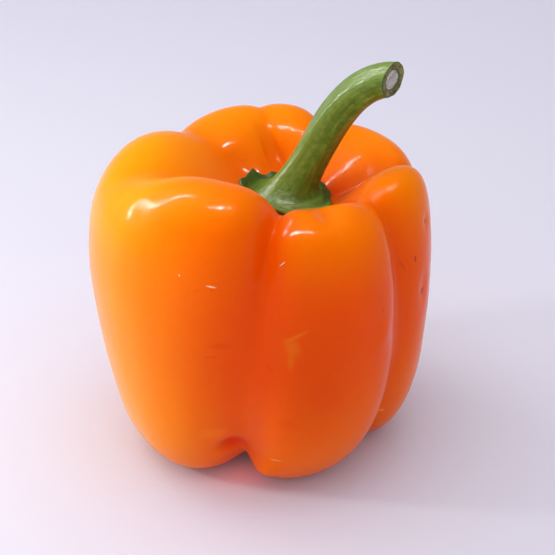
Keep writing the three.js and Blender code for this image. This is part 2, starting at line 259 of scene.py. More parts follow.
def meridians(azimuth):
    """Radius and height of the twelve stations (rows) at each azimuth (columns), and furrow depth.

    Each lobe adds its swelling and rise with a share exp(tightness * (cos(angle to lobe) - 1)),
    shares normalised to 1. Each furrow then takes away its pull and drop times a valley
    exp(b - sqrt(x^2 + b^2)), x the distance from its course in half widths and b its roundness.
    """
    shares = np.exp(LOBE_TIGHTNESS * (np.cos(azimuth - np.radians(LOBES[:, :1])) - 1))
    shares /= shares.sum(0)
    blend = LOBES[:, 1:].T @ shares
    radius = np.repeat(STATIONS[:, :1], len(azimuth), 1)
    height = np.repeat(STATIONS[:, 1:2], len(azimuth), 1)
    radius[2:10] += blend[:8]
    height[2] += blend[8]
    height[7] += blend[9]
    height[8] += blend[10]
    height[9] += CREST_TO_WALL_RISE * blend[10]
    side_course = 1 - TOP_COURSE - FOOT_COURSE
    roundness = (FURROW_BOTTOM * (TOP_COURSE + FOOT_COURSE) + FURROW_BOTTOM_SIDE * side_course)[:, None]
    circle = np.maximum(STATIONS[:, 0], SLIMMEST_RADIUS)
    crease = np.zeros_like(radius)
    for furrow in FURROWS:
        course = np.radians(furrow[0] * TOP_COURSE + furrow[1] * side_course + furrow[2] * FOOT_COURSE)
        away = np.angle(np.exp(1j * (azimuth - course[:, None])))
        foot_width = np.where(away < 0, furrow[10], furrow[11])
        rest = furrow[3] * TOP_COURSE + furrow[8] * side_course
        width = (rest[:, None] + FOOT_COURSE[:, None] * foot_width) / circle[:, None]
        valley = np.exp(roundness - np.hypot(away / width, roundness))
        inwards = (furrow[[4, 5, 9, 12, 13]] @ PULL_REACH)[:, None]
        down = (furrow[[6, 7, 14]] @ DROP_REACH)[:, None]
        radius -= valley * inwards
        height -= valley * down
        crease += valley * np.hypot(inwards, down) / 6
    radius[[0, -1]] = 0
    height[[0, -1]] = STATIONS[[0, -1], 1:2]
    return radius, height, np.clip(crease, 0, 1)


def skin(azimuth, place):
    """Point of the skin, in mm, for each azimuth (a column) and place along its meridian (rows).

    The stations are control points of a uniform cubic B-spline, carried on across the axis past
    either end, and the point is axis + radius * (cos, sin) of the azimuth, at the spline's height.
    The last number is how deep in a furrow the point lies, from 0 to 1.
    """
    radius, height, crease = meridians(azimuth)
    column = np.broadcast_to(np.arange(len(azimuth)), place.shape)
    first = np.clip(np.floor(place).astype(int), 0, LAST - 1)
    f = place - first
    weights = ((1 - f) ** 3, 3 * f ** 3 - 6 * f ** 2 + 4, -3 * f ** 3 + 3 * f ** 2 + 3 * f + 1, f ** 3)
    out = np.zeros(place.shape + (5,))
    for k, weight in enumerate(weights):
        index = first + k - 1
        across = (index < 0) | (index > LAST)
        index = np.where(index < 0, -index, np.where(index > LAST, 2 * LAST - index, index))
        share = weight / 6
        out[..., 0] += share * np.where(across, -1, 1) * radius[index, column]
        out[..., 1] += share * height[index, column]
        out[..., 2] += share * STATIONS[index, 2]
        out[..., 3] += share * STATIONS[index, 3]
        out[..., 4] += share * crease[index, column]
    x = out[..., 2] + out[..., 0] * np.cos(azimuth)
    y = out[..., 3] + out[..., 0] * np.sin(azimuth)
    return np.stack([x, y, out[..., 1]], -1), out[..., 4]


def unit(vectors):
    """The same vectors at length 1."""
    return vectors / np.maximum(np.linalg.norm(vectors, axis=-1, keepdims=True), 1e-9)


def grid_normals(points):
    """Outward normals of a grid of points that closes on itself along its columns."""
    round_step = np.roll(points, -1, 1) - np.roll(points, 1, 1)
    return unit(np.cross(round_step, np.gradient(points, axis=0)))


def lumps(points, spacing, seed):
    """Smooth noise from -1 to 1 in space: random values on a cubic lattice of this spacing, mixed
    between its eight corners with the weight 3t^2 - 2t^3 along each edge."""
    size = 64
    lattice = np.random.default_rng(seed).uniform(-1, 1, (size, size, size))
    scaled = points / spacing + 500.5
    low = np.floor(scaled).astype(int)
    t = scaled - low
    t = t * t * (3 - 2 * t)
    total = np.zeros(points.shape[:-1])
    for corner in np.ndindex(2, 2, 2):
        weight = np.prod(np.where(np.array(corner) == 1, t, 1 - t), axis=-1)
        i, j, k = np.moveaxis((low + corner) % size, -1, 0)
        total += weight * lattice[i, j, k]
    return total


def closed_piece(name, points, uv, masks=None):
    """A closed mesh from a grid of points whose first and last rows are single points, at poles.

    points is rows x columns x 3 in mm, uv is rows x (columns + 1) x 2, and each mask is a rows x
    columns array that becomes a float attribute of the mesh.
    """
    rows, columns = points.shape[:2]
    ring = np.arange(columns)
    after = (ring + 1) % columns
    inner = points[1:-1].reshape(-1, 3)
    vertices = np.concatenate([points[0, :1], inner, points[-1, :1]]) * MM
    lower = 1 + (np.arange(rows - 3)[:, None] * columns + ring)
    lower_next = 1 + (np.arange(rows - 3)[:, None] * columns + after)
    quads = np.stack([lower, lower_next, lower_next + columns, lower + columns], -1).reshape(-1, 4)
    top = len(vertices) - 1
    base = 1 + (rows - 3) * columns
    start = np.stack([np.zeros_like(ring), 1 + after, 1 + ring], -1)
    end = np.stack([np.full_like(ring, top), base + ring, base + after], -1)
    mesh = bpy.data.meshes.new(name)
    mesh.from_pydata(vertices.tolist(), [], quads.tolist() + start.tolist() + end.tolist())
    a, b = uv[1:-2, :-1], uv[1:-2, 1:]
    c, d = uv[2:-1, 1:], uv[2:-1, :-1]
    quad_uv = np.stack([a, b, c, d], 2).reshape(-1, 2)
    start_uv = np.stack([(uv[0, :-1] + uv[0, 1:]) / 2, uv[1, 1:], uv[1, :-1]], 1).reshape(-1, 2)
    end_uv = np.stack([(uv[-1, :-1] + uv[-1, 1:]) / 2, uv[-2, :-1], uv[-2, 1:]], 1).reshape(-1, 2)
    layer = mesh.uv_layers.new(name="UVMap")
    layer.data.foreach_set("uv", np.concatenate([quad_uv, start_uv, end_uv]).astype(np.float32).ravel())
    for key, values in (masks or {}).items():
        flat = np.concatenate([values[0, :1], values[1:-1].ravel(), values[-1, :1]])
        mesh.attributes.new(key, "FLOAT", "POINT").data.foreach_set("value", flat.astype(np.float32))
    mesh.shade_smooth()
    piece = bpy.data.objects.new(name, mesh)
    bpy.context.scene.collection.objects.link(piece)
    return piece


def fruit_grid():
    """The fruit's points on an even grid of azimuths and places, moved along the normal by smooth
    noise and by swellings exp(-(distance / reach)^2), and with its feet flattened at height 0."""
    azimuth = np.linspace(0, 2 * np.pi, FRUIT_COLUMNS, endpoint=False)
    place = np.repeat(np.linspace(0, LAST, FRUIT_ROWS)[:, None], FRUIT_COLUMNS, 1)
    points, crease = skin(azimuth, place)
    normals = grid_normals(points)
    dents = sum(height * lumps(points, spacing, seed) for height, spacing, seed in DENTS)
    for at, where, reach_round, reach_along, rise in SWELLINGS:
        around = np.angle(np.exp(1j * (azimuth - np.radians(at)))) * STATIONS[5, 0] / reach_round
        dents = dents + rise * np.exp(-around ** 2 - ((place - where) * MM_PER_PLACE / reach_along) ** 2)
    fade = np.clip(np.minimum(place, LAST - place), 0, 1)
    points = points + normals * (dents * fade)[..., None]
    points[..., 2] = np.maximum(points[..., 2], 0)
    edge = np.linspace(0, 1, FRUIT_COLUMNS + 1)
    uv = np.stack(np.broadcast_arrays(edge[None], place[:, :1] / LAST), -1)
    return points, uv, crease


def effect_group(name, inputs, outputs):
    """An empty shader node group with these named sockets: its tree, its inputs and its output."""
    group = bpy.data.node_groups.new(name, "ShaderNodeTree")
    for key, (kind, default) in inputs.items():
        socket = group.interface.new_socket(key, in_out="INPUT", socket_type=kind)
        if default is not None:
            socket.default_value = default
    for key, kind in outputs.items():
        group.interface.new_socket(key, in_out="OUTPUT", socket_type=kind)
    entry = group.nodes.new("NodeGroupInput")
    return group, entry.outputs, group.nodes.new("NodeGroupOutput")


def math(tree, operation, a, b=0.0, c=0.0, clamp=False):
    """The output of a Math node."""
    settings = {"operation": operation, "use_clamp": clamp}
    return put(tree, "ShaderNodeMath", settings, _0=a, _1=b, _2=c).outputs[0]


def remap(tree, value, low, high, to_low=0.0, to_high=1.0):
    """A value taken smoothly from the range low..high to to_low..to_high."""
    node = put(tree, "ShaderNodeMapRange", {"interpolation_type": "SMOOTHSTEP"}, Value=value)
    for key, number in (("From Min", low), ("From Max", high), ("To Min", to_low), ("To Max", to_high)):
        node.inputs[key].default_value = number
    return node.outputs["Result"]


def tint(tree, share, below, above):
    """Mixes two colours, each a tuple or a socket, by a share that is a number or a socket."""
    node = put(tree, "ShaderNodeMix", {"data_type": "RGBA", "clamp_factor": True})
    for index, value in ((0, share), (6, below), (7, above)):
        if isinstance(value, bpy.types.NodeSocket):
            tree.links.new(value, node.inputs[index])
        else:
            node.inputs[index].default_value = value
    return node.outputs[2]


def mottle_group():
    """Cloudy variation from 0 to 1: noise at one scale, pushed apart by a contrast."""
    group, given, out = effect_group(
        "mottle", {"Vector": ("NodeSocketVector", None), "Scale": ("NodeSocketFloat", 40.0),
                   "Detail": ("NodeSocketFloat", 3.0), "Contrast": ("NodeSocketFloat", 2.0)},
        {"Share": "NodeSocketFloat"})
    noise = put(group, "ShaderNodeTexNoise", Vector=given["Vector"], Scale=given["Scale"],
                Detail=given["Detail"])
    centred = math(group, "SUBTRACT", noise.outputs["Fac"], 0.5)
    pushed = math(group, "MULTIPLY_ADD", centred, given["Contrast"], 0.5, clamp=True)
    group.links.new(pushed, out.inputs["Share"])
    return group


def pores_group():
    """Small round dots from 0 to 1, one in some of the cells of a lattice of points."""
    group, given, out = effect_group(
        "pores", {"Vector": ("NodeSocketVector", None), "Scale": ("NodeSocketFloat", 600.0),
                  "Size": ("NodeSocketFloat", 0.18), "Share": ("NodeSocketFloat", 0.5)},
        {"Dots": "NodeSocketFloat"})
    cells = put(group, "ShaderNodeTexVoronoi", Vector=given["Vector"], Scale=given["Scale"])
    near = math(group, "SUBTRACT", given["Size"], cells.outputs["Distance"])
    dot = math(group, "DIVIDE", near, given["Size"], clamp=True)
    parts = put(group, "ShaderNodeSeparateColor", Color=cells.outputs["Color"])
    kept = math(group, "LESS_THAN", parts.outputs[0], given["Share"])
    group.links.new(math(group, "MULTIPLY", dot, kept), out.inputs["Dots"])
    return group


# How many mm the unrolled skin's square is wide and high.
UNROLLED = (270, 242, 0)


def mark_and_shade_group():
    """One soft-edged oval from 0 to 1 at a place on the unrolled skin, with sizes in mm."""
    group, given, out = effect_group(
        "mark_and_shade", {"UV": ("NodeSocketVector", None), "At": ("NodeSocketVector", None),
                    "Half Size": ("NodeSocketVector", None), "Angle": ("NodeSocketFloat", 0.0),
                    "Softness": ("NodeSocketFloat", 0.3)}, {"Share": "NodeSocketFloat"})
    away = put(group, "ShaderNodeVectorMath", {"operation": "SUBTRACT"}, _0=given["UV"], _1=given["At"])
    scaled = put(group, "ShaderNodeVectorMath", {"operation": "MULTIPLY"}, _0=away.outputs[0], _1=UNROLLED)
    turned = put(group, "ShaderNodeVectorRotate", {"rotation_type": "Z_AXIS"},
                 Vector=scaled.outputs[0], Angle=given["Angle"])
    sized = put(group, "ShaderNodeVectorMath", {"operation": "DIVIDE"}, _0=turned.outputs[0],
                _1=given["Half Size"])
    length = put(group, "ShaderNodeVectorMath", {"operation": "LENGTH"}, _0=sized.outputs[0])
    outer = math(group, "ADD", given["Softness"], 1.0)
    inner = math(group, "SUBTRACT", 1.0, given["Softness"])
    fall = put(group, "ShaderNodeMapRange", {"interpolation_type": "SMOOTHSTEP"},
               Value=length.outputs["Value"], From_Min=outer, From_Max=inner)
    group.links.new(fall.outputs["Result"], out.inputs["Share"])
    return group


MOTTLE = mottle_group()
PORES = pores_group()
MARK_AND_SHADE_OVAL = mark_and_shade_group()
# Each row: its place on the unrolled skin, half size in mm, turn in degrees, softness, colour
# and strength. First the stains, with three patches of painted shade among them, then the scratches, scars
# and specks.
MARKS_AND_PAINTED_SHADE = [
    (0.7115, 0.4920, 2.3, 0.8, 0, 0.7, (0.72, 0.045, 0.0), 0.35),
    (0.7035, 0.4786, 1.7, 0.25, 0, 0.5, (0.60, 0.040, 0.01), 0.35),
    (0.7755, 0.4905, 1.5, 2.2, -30, 0.8, (0.78, 0.250, 0.01), 0.45),
    (0.7795, 0.5045, 2.6, 0.5, -28, 0.8, (0.85, 0.270, 0.02), 0.45),
    (0.7742, 0.4750, 0.7, 1.9, 0, 0.8, (0.78, 0.250, 0.01), 0.40),
    (0.7712, 0.3991, 2.2, 1.5, 25, 0.5, (0.80, 0.080, 0.0), 0.45),
    (0.8065, 0.4291, 3.6, 4.2, -25, 0.9, (0.80, 0.050, 0.0), 0.30),
    (0.8185, 0.4964, 1.8, 0.6, 12, 0.6, (0.80, 0.060, 0.0), 0.40),
    # Painted shade: darker red over the shallow hollow of the front right lobe.
    (0.7960, 0.4500, 9.0, 18.0, 0, 0.9, (0.62, 0.050, 0.0), 0.45),
    (0.6960, 0.3700, 3.0, 2.0, 0, 0.7, (1.0, 0.240, 0.01), 0.25),
    # Painted shade: deep red in the notch between the front feet.
    (0.7111, 0.3360, 3.4, 3.0, 0, 0.9, (0.75, 0.020, 0.0), 0.80),
    # Painted shade: darker red on the well's wall on the right.
    (0.0450, 0.8500, 12.0, 12.0, 0, 0.9, (0.80, 0.030, 0.0), 0.60),
    (0.9235, 0.3335, 0.8, 0.6, 0, 0.5, (1.0, 0.350, 0.02), 0.55),
    (0.7019, 0.5603, 1.1, 0.22, 4, 0.5, (1.0, 0.620, 0.38), 0.80),
    (0.7030, 0.5570, 0.5, 0.15, 0, 0.5, (0.55, 0.050, 0.01), 0.50),
    (0.6723, 0.5659, 0.24, 0.24, 0, 0.5, (1.0, 0.650, 0.35), 0.85),
    (0.7631, 0.5976, 0.95, 0.15, -52, 0.4, (1.0, 0.780, 0.60), 0.95),
    (0.7620, 0.5968, 0.95, 0.13, -52, 0.4, (0.45, 0.050, 0.01), 0.70),
    (0.7604, 0.3374, 1.5, 0.16, 0, 0.4, (1.0, 0.550, 0.18), 0.75),
    (0.7558, 0.4641, 0.9, 0.20, 30, 0.5, (0.55, 0.050, 0.01), 0.45),
    (0.9319, 0.5347, 0.35, 0.95, -8, 0.4, (0.50, 0.030, 0.01), 0.80),
    (0.9473, 0.4869, 0.8, 0.9, 0, 0.5, (0.50, 0.015, 0.02), 0.75),
    (0.9550, 0.5686, 0.4, 0.8, 0, 0.4, (0.40, 0.030, 0.01), 0.75),
    (0.9165, 0.5364, 0.22, 2.6, -22, 0.6, (0.60, 0.040, 0.01), 0.50),
    (0.7696, 0.3797, 0.18, 0.22, 0, 0.4, (0.45, 0.060, 0.01), 0.70),
    (0.8088, 0.4586, 0.15, 0.18, 0, 0.4, (0.45, 0.060, 0.01), 0.70),
    (0.8638, 0.5131, 0.16, 0.55, 0, 0.4, (0.45, 0.060, 0.01), 0.65),
]


def placed(tree, group, output, **inputs):
    """A named output of a node group placed in a material."""
    return put(tree, "ShaderNodeGroup", {"node_tree": group}, **inputs).outputs[output]


def fruit_material():
    """Waxy skin: clear orange, yellower on the left and at the top, partly its own colour and partly
    painted light, darker red in the furrows as painted shade, with faint clouds and bands, pores, the
    blemishes and three patches of painted shade, under a thin glossy coat."""
    material, tree, bsdf = finish_shader(
        "waxy_orange_skin", Specular_IOR_Level=0.04, Subsurface_Weight=0.15, Subsurface_Scale=0.003,
        Subsurface_Radius=(1.0, 0.28, 0.04), Coat_Weight=0.5, Coat_Roughness=0.055, Coat_IOR=1.22,
        Specular_Tint=(1.0, 0.5, 0.12, 1))
    spot = put(tree, "ShaderNodeTexCoord").outputs["Object"]
    crease = put(tree, "ShaderNodeAttribute", {"attribute_name": "crease"}).outputs["Fac"]
    axes = put(tree, "ShaderNodeSeparateXYZ", Vector=spot)
    across, height = axes.outputs["X"], axes.outputs["Z"]
    unrolled = put(tree, "ShaderNodeUVMap", {"uv_map": "UVMap"}).outputs["UV"]
    clouds = placed(tree, MOTTLE, "Share", Vector=spot, Scale=28.0, Contrast=2.2)
    fine = placed(tree, MOTTLE, "Share", Vector=spot, Scale=240.0, Contrast=1.6)
    # The share of yellow: higher on the left, at the top, at the back, at the right edge and towards the
    # bottom. It is partly the skin's own colour and partly painted light on the lit left and top.
    behind = remap(tree, axes.outputs["Y"], -0.036, -0.012, 0.3, 1.0)
    behind = math(tree, "MAXIMUM", behind, remap(tree, across, -0.005, 0.012, 0.0, 0.85))
    top = math(tree, "MULTIPLY", math(tree, "POWER", remap(tree, height, 0.054, 0.088), 1.3), behind)
    top = math(tree, "MAXIMUM", top, remap(tree, height, 0.073, 0.087, 0.0, 0.65))
    yellow_and_lit = math(tree, "MULTIPLY_ADD", top, 0.60, remap(tree, across, -0.003, -0.045, 0.0, 0.80))
    yellow_and_lit = math(tree, "ADD", yellow_and_lit, remap(tree, axes.outputs["Y"], 0.005, 0.030, 0.0, 0.18))
    yellow_and_lit = math(tree, "ADD", yellow_and_lit, remap(tree, across, 0.022, 0.042, 0.0, 0.10))
    yellow_and_lit = math(tree, "ADD", yellow_and_lit, remap(tree, height, 0.046, 0.008, 0.0, 0.24))
    ripe_and_lit = tint(tree, yellow_and_lit, (0.84, 0.066, 0.0, 1), (1.0, 0.372, 0.0, 1))
    cloudy = tint(tree, math(tree, "MULTIPLY", clouds, 0.18), ripe_and_lit, (0.97, 0.17, 0.0, 1))
    long_way = put(tree, "ShaderNodeMapping", Vector=unrolled, Scale=(26.0, 3.0, 1.0)).outputs["Vector"]
    bands = placed(tree, MOTTLE, "Share", Vector=long_way, Scale=1.0, Contrast=2.2)
    banded = tint(tree, math(tree, "MULTIPLY", bands, 0.12), cloudy, (0.86, 0.060, 0.0, 1))
    # Painted shade: the furrows darker red, by how deep in a furrow the skin lies.
    furrow_shaded = tint(tree, math(tree, "MULTIPLY", crease, 0.40), banded, (0.80, 0.045, 0.001, 1))
    skin_and_shade = tint(tree, math(tree, "MULTIPLY", fine, 0.05), furrow_shaded, (1.0, 0.26, 0.0, 1))
    specks = placed(tree, PORES, "Dots", Vector=spot, Scale=330.0, Size=0.09, Share=0.20)
    skin_and_shade = tint(tree, math(tree, "MULTIPLY", specks, 0.7), skin_and_shade, (0.50, 0.06, 0.01, 1))
    for u, v, half_width, half_height, turn, softness, colour, strength in MARKS_AND_PAINTED_SHADE:
        mark = placed(tree, MARK_AND_SHADE_OVAL, "Share", UV=unrolled, At=(u, v, 0),
                      Half_Size=(half_width, half_height, 1), Angle=np.radians(turn), Softness=softness)
        skin_and_shade = tint(tree, math(tree, "MULTIPLY", mark, strength), skin_and_shade, (*colour, 1))
    tree.links.new(skin_and_shade, bsdf.inputs["Base Color"])
    rough = remap(tree, clouds, 0, 1, 0.30, 0.40)
    tree.links.new(rough, bsdf.inputs["Roughness"])
    coarse = put(tree, "ShaderNodeTexNoise", Vector=spot, Scale=420.0, Detail=1.0).outputs["Fac"]
    pebbled = put(tree, "ShaderNodeTexNoise", Vector=spot, Scale=1900.0, Detail=1.0).outputs["Fac"]
    relief = math(tree, "MULTIPLY_ADD", coarse, 2.2, pebbled)
    bump = put(tree, "ShaderNodeBump", Height=relief, Strength=0.8)
    bump.inputs["Distance"].default_value = 0.00003
    tree.links.new(bump.outputs["Normal"], bsdf.inputs["Normal"])
    tree.links.new(bump.outputs["Normal"], bsdf.inputs["Coat Normal"])
    return material


fruit_points, fruit_uv, fruit_crease = fruit_grid()
fruit = closed_piece("fruit_skin", fruit_points, fruit_uv, {"crease": fruit_crease})
fruit.data.materials.append(fruit_material())
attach(fruit, "root")
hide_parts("fruit")


# The calyx: the green cup that the fruit hung from, spread flat on the floor of the well, with a few
# pointed teeth that lift at their tips and a boss in the middle that becomes the stem.
CALYX_GAP = 0.35
CALYX_THICKNESS = 1.2
CALYX_RADIUS = 10
CALYX_SEAT_RADIUS = 8.8
CALYX_SEAT_HEIGHT = 71.2
CALYX_SEAT_SLOPE = 1.4
CALYX_EDGE_BULGE = 0.35
CALYX_CRINKLE = 0.10
CALYX_TOOTH_POWER = 1.15
# Between these distances from the axis, in mm, the calyx turns from level to the well's slope.
CALYX_LEANS = (5, 9)
# Between these shares of the way out to the edge the tips begin to curl up.
CALYX_CURLS = (0.7, 1.05)
# Columns: azimuth, reach past the radius, half width in degrees, curl of the tip.
CALYX_TEETH = np.array([
    (-95, 1.2, 26, 0.2),
    (-40, 3.2, 30, 0.8),
    (42, 0.6, 24, 0.3),
    (92, 1.0, 18, 0.6),
    (118, 1.2, 22, 1.5),
    (144, 1.6, 18, 2.2),
    (172, 4.6, 50, 2.6),
    (-140, 2, 22, 0.4),
])
CALYX_COLUMNS = 288
CALYX_SHARES = np.concatenate([np.linspace(0, 0.9, 34), np.linspace(0.92, 1, 10)])
CALYX_EDGE_ROWS = 6


def smooth(value, low, high):
    """0 below low, 1 above high, and 3t^2 - 2t^3 between."""
    t = np.clip((value - low) / (high - low), 0, 1)
    return t * t * (3 - 2 * t)


def well_place(azimuth, distance):
    """The place on each meridian inside the well at a distance from its axis, by halving."""
    outer = np.full(distance.shape, LAST - 3.0)
    inner = np.full(distance.shape, float(LAST))
    for _ in range(24):
        middle = (outer + inner) / 2
        points, _ = skin(azimuth, middle)
        far = np.hypot(*np.moveaxis(points[..., :2] - STATIONS[-1, 2:], -1, 0)) > distance
        outer = np.where(far, middle, outer)
        inner = np.where(far, inner, middle)
    return (outer + inner) / 2


def calyx_grid():
    """Rows from the middle of the underside out to the edge and back over the top. Each point is the
    well's skin, lifted by the gap, by the tip's curl and, on top, by the thickness, and levelled to
    the boss near the middle. The edge is rounded, and the top has low veins towards the teeth."""
    azimuth = np.linspace(0, 2 * np.pi, CALYX_COLUMNS, endpoint=False)
    away = np.abs(np.angle(np.exp(1j * (azimuth - np.radians(CALYX_TEETH[:, :1])))))
    tooth = np.maximum(0, 1 - away / np.radians(CALYX_TEETH[:, 2:3])) ** CALYX_TOOTH_POWER
    edge = CALYX_RADIUS + (CALYX_TEETH[:, 1:2] * tooth).sum(0)
    curl = (CALYX_TEETH[:, 3:4] * tooth).sum(0)
    rim = np.linspace(0, 1, CALYX_EDGE_ROWS + 2)[1:-1]
    share = np.concatenate([CALYX_SHARES, np.ones(CALYX_EDGE_ROWS), CALYX_SHARES[::-1]])[:, None]
    level = np.concatenate([np.zeros(len(CALYX_SHARES)), rim, np.ones(len(CALYX_SHARES))])[:, None]
    distance = share * edge
    place = well_place(azimuth, distance)
    points, _ = skin(azimuth, place)
    beyond, _ = skin(azimuth, np.minimum(place, LAST - 0.1) - 0.02)
    turned, _ = skin(azimuth + 0.01, np.minimum(place, LAST - 0.1))
    here, _ = skin(azimuth, np.minimum(place, LAST - 0.1))
    out = unit(np.cross(turned - here, here - beyond))
    lean = smooth(distance, *CALYX_LEANS)[..., None]
    out = unit(out * lean + np.array((0, 0, 1.0)) * (1 - lean))
    lift = CALYX_GAP + curl * smooth(share, *CALYX_CURLS) + level * CALYX_THICKNESS
    points = points + out * lift[..., None]
    bulge = CALYX_EDGE_BULGE * np.sin(np.pi * level) * (share >= 1)
    spoke = np.stack([np.cos(azimuth), np.sin(azimuth), np.zeros_like(azimuth)], -1)
    points = points + spoke * bulge[..., None]
    boss = 1 - smooth(distance, CALYX_SEAT_RADIUS, CALYX_SEAT_RADIUS + CALYX_SEAT_SLOPE)
    on_top = level >= 1
    seated = points[..., 2] * (1 - boss) + CALYX_SEAT_HEIGHT * boss
    points[..., 2] = np.where(on_top, seated, points[..., 2])
    veins = CALYX_CRINKLE * np.cos(9 * azimuth + 2 * np.sin(3 * azimuth)) * smooth(share, 0.75, 0.9)
    crinkle = veins + CALYX_CRINKLE * lumps(points, 2.2, 11) * smooth(distance, 7.5, 9)
    points[..., 2] += np.where(on_top, crinkle, 0)
    column = np.linspace(0, 1, CALYX_COLUMNS + 1)
    uv = np.stack(np.broadcast_arrays(column[None], share), -1)
    return points, uv, np.broadcast_to(share, distance.shape)


def calyx_material():
    """Leafy green, darker than the stem, and of the stem's green where they join and at the front."""
    material, tree, bsdf = finish_shader(
        "leafy_calyx", Specular_IOR_Level=0.15, Subsurface_Weight=0.08, Subsurface_Scale=0.002,
        Subsurface_Radius=(0.4, 1.0, 0.2))
    spot = put(tree, "ShaderNodeTexCoord").outputs["Object"]
    share = put(tree, "ShaderNodeAttribute", {"attribute_name": "share"}).outputs["Fac"]
    clouds = placed(tree, MOTTLE, "Share", Vector=spot, Scale=320.0, Contrast=2.4)
    fine = placed(tree, PORES, "Dots", Vector=spot, Scale=900.0, Size=0.3, Share=0.6)
    leaf = tint(tree, clouds, (0.034, 0.072, 0.004, 1), (0.070, 0.128, 0.009, 1))
    edge = tint(tree, remap(tree, share, 0.90, 1.0), leaf, (0.06, 0.11, 0.02, 1))
    depth = put(tree, "ShaderNodeSeparateXYZ", Vector=spot).outputs["Y"]
    near_stem = math(tree, "MAXIMUM", remap(tree, share, 0.86, 0.74), remap(tree, depth, -0.005, -0.008))
    joined = tint(tree, near_stem, edge, (0.120, 0.190, 0.008, 1))
    dotted = tint(tree, math(tree, "MULTIPLY", fine, 0.3), joined, (0.12, 0.20, 0.05, 1))
    tree.links.new(dotted, bsdf.inputs["Base Color"])
    tree.links.new(remap(tree, clouds, 0, 1, 0.38, 0.55), bsdf.inputs["Roughness"])
    relief = put(tree, "ShaderNodeTexNoise", Vector=spot, Scale=1500.0, Detail=3.0).outputs["Fac"]
    bump = put(tree, "ShaderNodeBump", Height=relief, Strength=0.35)
    bump.inputs["Distance"].default_value = 0.0003
    tree.links.new(bump.outputs["Normal"], bsdf.inputs["Normal"])
    return material


calyx_points, calyx_uv, calyx_share = calyx_grid()
calyx = closed_piece("calyx_leaf", calyx_points, calyx_uv, {"share": calyx_share})
calyx.data.materials.append(calyx_material())
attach(calyx, "root")
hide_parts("calyx")


# The stem: a fleshy green stalk with soft ribs, bent over towards the right and cut off on a slant,
# with a dark rim and pale pith in the cut. It flares where it grows out of the calyx.
STEM_SINK = 0.5
STEM_PATH = np.array([
    (8.3, -0.4, CALYX_SEAT_HEIGHT - STEM_SINK),
    (14.8, -0.4, 82.5),
    (20.4, -1.2, 101.5),
    (32.7, -8.3, 105.1),
])
STEM_RADIUS = 4.65
STEM_TIP_RADIUS = 4.3
STEM_FLARE = 3.2
STEM_FLARE_LENGTH = 3.4
STEM_FLARE_MEAN = 0.8
STEM_FLARE_LEFT = 0.42
STEM_FLARE_FRONT = 0.35
STEM_SKIRT = 0.5
STEM_SKIRT_LENGTH = 0.7
STEM_RIBS = 5
STEM_RIB_HEIGHT = 0.24
STEM_RIB_TURN = np.radians(40)
STEM_RIB_FADE = 0.7
STEM_RIDGE = 0.03
STEM_FINE_RIDGE = 0.02
STEM_BUMP = 0.09
# The share of the path over which the rings turn from level to square.
STEM_LEVEL_UNTIL = 0.16
STEM_FOOT_REACH = 6
CUT_NORMAL = unit(np.array((0.76, -0.65, -0.03)))
CUT_LEAN_START = 0.7
CUT_RIM_HEIGHT = 0.25
# Roughness of the cut. Columns: height and spacing in mm, and the seed of its random values.
CUT_ROUGH = ((0.16, 0.9, 23), (0.10, 0.45, 24))
CUT_ROUGH_FROM = 40
PITH_RADIUS = 0.54
PITH_DEPTH = 0.35
STEM_COLUMNS = 160
STEM_ROWS = 230
FOOT_ROWS = 8
CUT_ROWS = 46


def bezier(along):
    """Point and direction of the stem's cubic Bezier path at shares of its parameter."""
    a, b, c, d = STEM_PATH
    t = along[:, None]
    point = (1 - t) ** 3 * a + 3 * (1 - t) ** 2 * t * b + 3 * (1 - t) * t ** 2 * c + t ** 3 * d
    slope = (1 - t) ** 2 * (b - a) + 2 * (1 - t) * t * (c - b) + t ** 2 * (d - c)
    return point, unit(slope)


